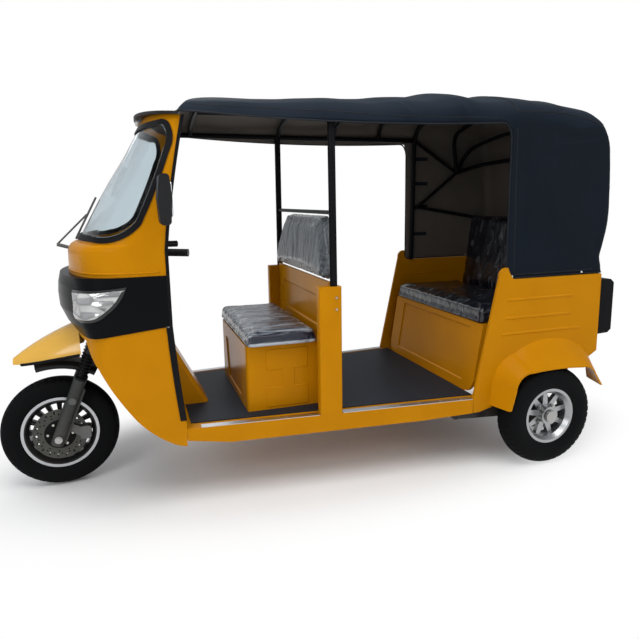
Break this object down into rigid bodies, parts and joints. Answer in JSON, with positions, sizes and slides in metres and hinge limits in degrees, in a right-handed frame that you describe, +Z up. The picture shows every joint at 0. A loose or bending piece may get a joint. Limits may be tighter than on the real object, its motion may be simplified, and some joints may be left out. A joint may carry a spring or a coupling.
{
  "type": "auto rickshaw",
  "caption": "Three-wheeled passenger auto rickshaw with open doorways, folding cloth canopy, driver's seat, rear bench, steered fork and rolling wheels.",
  "frame": {"origin": "on the ground, under the middle of the whole vehicle", "axes": "+X forward, +Y to the vehicle's left, +Z up"},
  "size_m": [2.902, 1.29, 1.7808],
  "materials": {
    "yellow_paint": "glossy orange-yellow enamel",
    "black_paint": "satin black enamel",
    "black_plastic": "grained black plastic",
    "tyre": "matt black tread rubber",
    "black_alloy": "satin black cast alloy, bright machined lip",
    "silver_alloy": "silver painted cast alloy",
    "bright_steel": "brushed steel",
    "cast_alloy": "bare cast alloy",
    "glass": "clear glass",
    "lamp_lens": "clear lamp lens over a bright reflector",
    "red_lens": "red lens",
    "rubber": "black rubber",
    "mat": "dark grey rubber mat",
    "seat_cover": "dark navy vinyl under clear wrapping film",
    "canopy_cloth": "near-black coated canopy cloth",
    "mirror_back": "black plastic shell"
  },
  "bodies": {
    "body": {"beak_mudguard": "yellow_paint", "bench_backrest": "seat_cover", "bench_box": "yellow_paint", "bench_cushion": "seat_cover", "bulkhead": "yellow_paint", "canopy": "canopy_cloth", "canopy_bows": "black_paint", "canopy_frame": "black_paint", "canopy_rear_hoops": "black_paint", "chassis_frame": "black_paint", "column_cover": "yellow_paint", "dashboard": "black_plastic", "door_pillars": "yellow_paint", "doorway_rubbers": "rubber", "driver_backrest": "seat_cover", "driver_cushion": "seat_cover", "driver_seat_box": "yellow_paint", "engine_block": "cast_alloy", "floor_mat": "mat", "floor_pan": "yellow_paint", "front_apron": "yellow_paint", "front_cowl": "yellow_paint", "half_shafts": "bright_steel", "headlamps": "lamp_lens", "leg_shield": "black_paint", "mirrors": "mirror_back", "nose_band": "black_paint", "plate_bracket": "black_paint", "rear_dampers": "black_paint", "rear_panel": "yellow_paint", "rear_side_panels": "yellow_paint", "sill_trims": "bright_steel", "sills": "yellow_paint", "steering_head": "black_paint", "sun_visor": "black_plastic", "tail_lamps": "red_lens", "trailing_arms": "black_paint", "windscreen": "glass", "windscreen_seal": "rubber", "wiper": "black_plastic"},
    "steering": {"fork_legs": "black_paint", "fork_crown_and_stem": "black_paint", "front_axle": "bright_steel", "front_mudguard": "black_plastic", "handlebar": "black_plastic", "brake_caliper": "cast_alloy"},
    "front_wheel": {"front_tyre": "tyre", "front_rim": "black_alloy", "front_brake_disc": "bright_steel"},
    "rear_left_wheel": {"rear_left_tyre": "tyre", "rear_left_rim": "silver_alloy"},
    "rear_right_wheel": {"rear_right_tyre": "tyre", "rear_right_rim": "silver_alloy"}
  },
  "joints": [
    {"name": "steering_turn", "type": "hinge", "parent": "body", "child": "steering", "pos_m": [1.16304, 0, 0.23569], "axis": [-0.3827, 0, 0.9239], "range_deg": [-35, 35]},
    {"name": "front_wheel_roll", "type": "hinge", "parent": "steering", "child": "front_wheel", "pos_m": [1.2, 0, 0.251], "axis": [0, 1, 0], "continuous": true},
    {"name": "rear_left_wheel_roll", "type": "hinge", "parent": "body", "child": "rear_left_wheel", "pos_m": [-0.996, 0.579, 0.24], "axis": [0, 1, 0], "continuous": true},
    {"name": "rear_right_wheel_roll", "type": "hinge", "parent": "body", "child": "rear_right_wheel", "pos_m": [-0.996, -0.579, 0.24], "axis": [0, 1, 0], "continuous": true}
  ]
}
